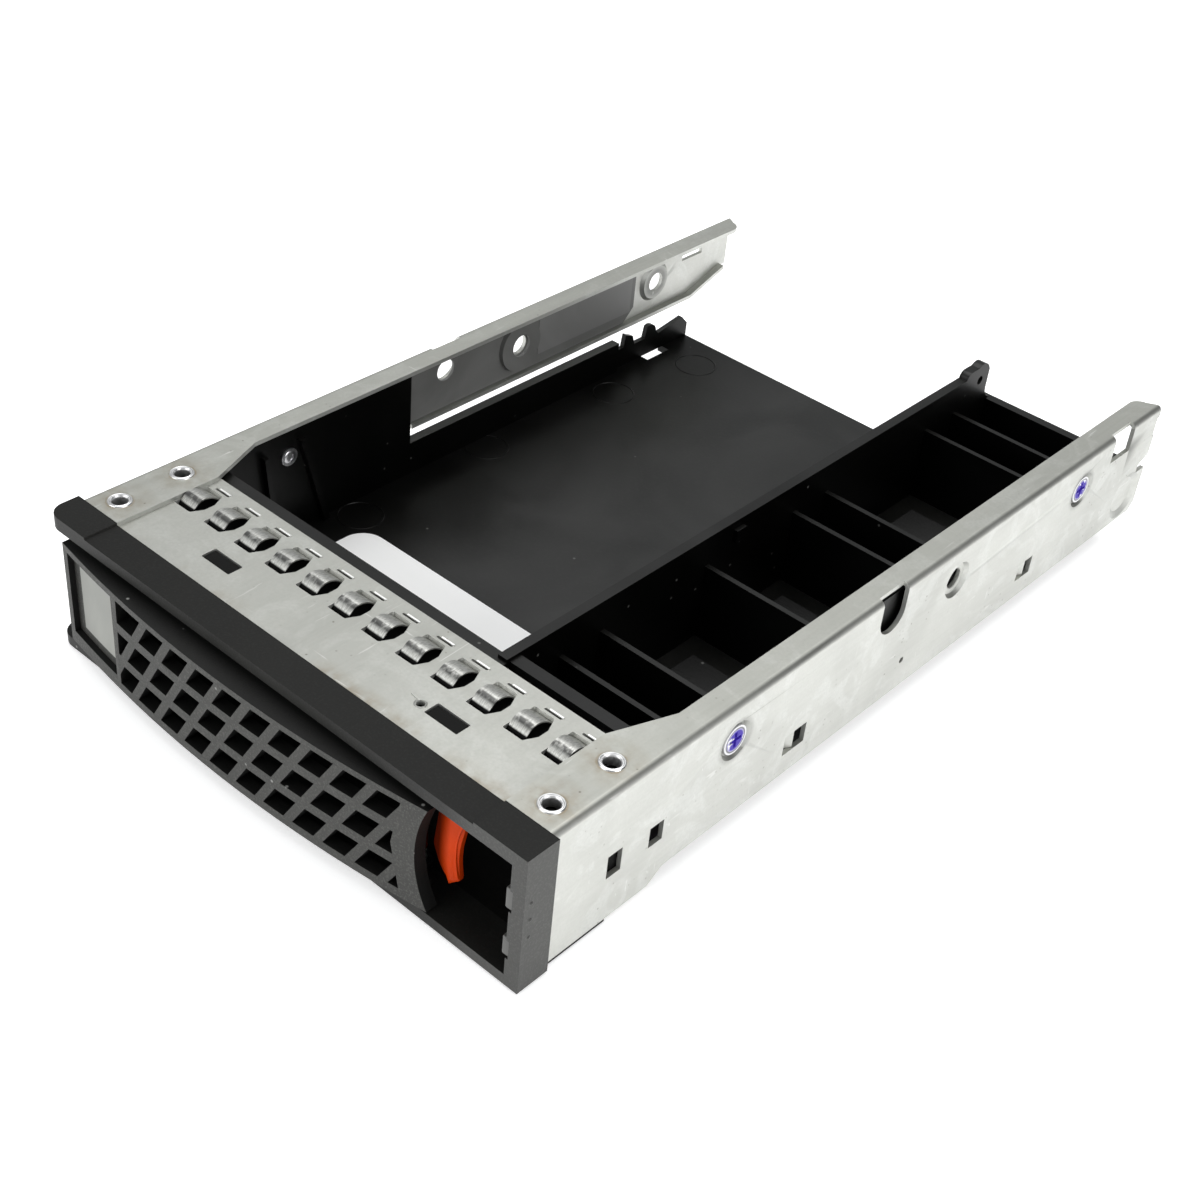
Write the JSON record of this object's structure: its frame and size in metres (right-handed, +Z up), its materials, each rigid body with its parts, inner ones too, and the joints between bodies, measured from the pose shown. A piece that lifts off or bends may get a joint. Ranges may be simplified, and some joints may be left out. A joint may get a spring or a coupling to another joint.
{
  "type": "hot swap drive caddy",
  "caption": "Sheet-metal drive caddy with plastic bezel, bowed lever with slanted grille, orange latch, contact fingers and a blank tray.",
  "frame": {"origin": "middle of the overall box's base: half way across, half way from the lever's bow to the rails' rear ends, at the bezel's underside", "axes": "+X to the right seen from the front, +Y rearwards along the rails, +Z up"},
  "size_m": [0.1062, 0.1784, 0.0264],
  "materials": {
    "sheet_steel": "zinc plated sheet, satin, lightly scratched",
    "spring_steel": "bright spring sheet",
    "plated_steel": "nickel plated",
    "black_plastic": "fine moulded grain",
    "lever_plastic": "grained, slightly worn",
    "tray_plastic": "satin moulded",
    "liner_plastic": "satin sheet",
    "orange_plastic": "satin moulded",
    "grey_panel": "satin film",
    "white_label": "paper label, bare",
    "grey_label": "film label, bare",
    "clear_plastic": "clear moulding over black"
  },
  "bodies": {
    "carrier": {"left_rail": "sheet_steel", "right_rail": "sheet_steel", "bridge_plate": "sheet_steel", "spring_finger_strip": "spring_steel", "left_eyelets": "plated_steel", "right_eyelets": "plated_steel", "bezel": "black_plastic", "lever_hinge_pin": "plated_steel", "drive_blank": "tray_plastic", "blank_label": "white_label", "rail_liner": "liner_plastic", "rail_label": "grey_label", "left_front_screw": "plated_steel", "right_front_screw": "plated_steel", "right_rear_screw": "plated_steel", "upper_light_guide": "clear_plastic", "lower_light_guide": "clear_plastic"},
    "lever": {"lever": "lever_plastic", "lever_label": "grey_panel", "latch_pivot_pin": "plated_steel", "latch_spring": "spring_steel"},
    "latch": {"release_latch": "orange_plastic"}
  },
  "joints": [
    {"name": "lever_hinge", "type": "hinge", "parent": "carrier", "child": "lever", "pos_m": [-0.0468, -0.0806, 0.0121], "axis": [0, 0, -1], "range_deg": [0, 60]},
    {"name": "latch_pivot", "type": "hinge", "parent": "lever", "child": "latch", "pos_m": [0.027, -0.08, 0.012], "axis": [0, 0, 1], "range_deg": [0, 16], "stiffness_Nm_per_rad": 0.02}
  ]
}
